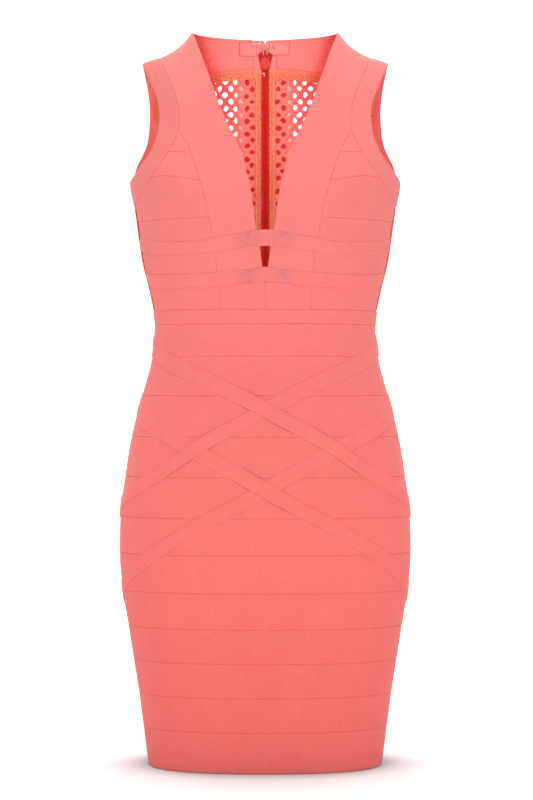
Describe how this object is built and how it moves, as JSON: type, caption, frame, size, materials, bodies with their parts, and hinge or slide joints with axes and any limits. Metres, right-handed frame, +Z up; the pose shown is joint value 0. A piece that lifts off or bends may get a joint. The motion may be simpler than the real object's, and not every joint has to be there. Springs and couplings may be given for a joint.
{
  "type": "fitted sleeveless mini dress, worn form",
  "caption": "Fitted sleeveless mini dress of coral bandage knit with a deep V neck, crossed hip straps, an open lattice back and a centre back zip.",
  "frame": {"origin": "midway between the two neck points at the shoulders, where the wearer's shoulders hold the dress", "axes": "+Z up along the wearer's body, -Y out of the front, +X towards the wearer's left side"},
  "size_m": [0.341, 0.2365, 0.8528],
  "materials": {
    "coral_knit": "matt heavy rib knit with a soft sheen",
    "coral_lattice": "matt knitted lattice with rounded holes",
    "red_zip_tape": "woven tape with a nylon coil",
    "red_painted_metal": "glossy red lacquer",
    "steel_wire": "plain bright wire"
  },
  "bodies": {
    "dress": {"armhole_band_left": "coral_knit", "armhole_band_right": "coral_knit", "back_lattice_left": "coral_lattice", "back_lattice_right": "coral_lattice", "back_yoke_left": "coral_knit", "back_yoke_right": "coral_knit", "bust_gusset_left": "coral_knit", "bust_gusset_right": "coral_knit", "bust_inset_left": "coral_knit", "bust_inset_right": "coral_knit", "bust_side_left": "coral_knit", "bust_side_right": "coral_knit", "eye_tab_left": "coral_knit", "eye_wire": "steel_wire", "front_v_panel_left": "coral_knit", "front_v_panel_right": "coral_knit", "hook_tab_right": "coral_knit", "hook_wire": "steel_wire", "lower_bust_strap": "coral_knit", "lower_hip_strap_to_left": "coral_knit", "lower_hip_strap_to_right": "coral_knit", "side_panel_left": "coral_knit", "side_panel_right": "coral_knit", "skirt_strip_01": "coral_knit", "skirt_strip_02": "coral_knit", "skirt_strip_03": "coral_knit", "skirt_strip_04": "coral_knit", "skirt_strip_05": "coral_knit", "skirt_strip_06": "coral_knit", "skirt_strip_07": "coral_knit", "skirt_strip_08": "coral_knit", "skirt_strip_09": "coral_knit", "skirt_strip_10": "coral_knit", "skirt_strip_11": "coral_knit", "skirt_strip_12": "coral_knit", "upper_bust_strap": "coral_knit", "upper_hip_strap_to_left": "coral_knit", "upper_hip_strap_to_right": "coral_knit", "waistband": "coral_knit", "zip_band_left": "coral_knit", "zip_band_right": "coral_knit", "zip_slider": "red_painted_metal", "zip_tape_left": "red_zip_tape", "zip_tape_right": "red_zip_tape"},
    "pull": {"zip_pull": "red_painted_metal"}
  },
  "joints": [
    {"name": "zip_pull_hinge", "type": "hinge", "parent": "dress", "child": "pull", "pos_m": [0, 0.07028, -0.02693], "axis": [1, 0, 0], "range_deg": [0, 165]}
  ]
}
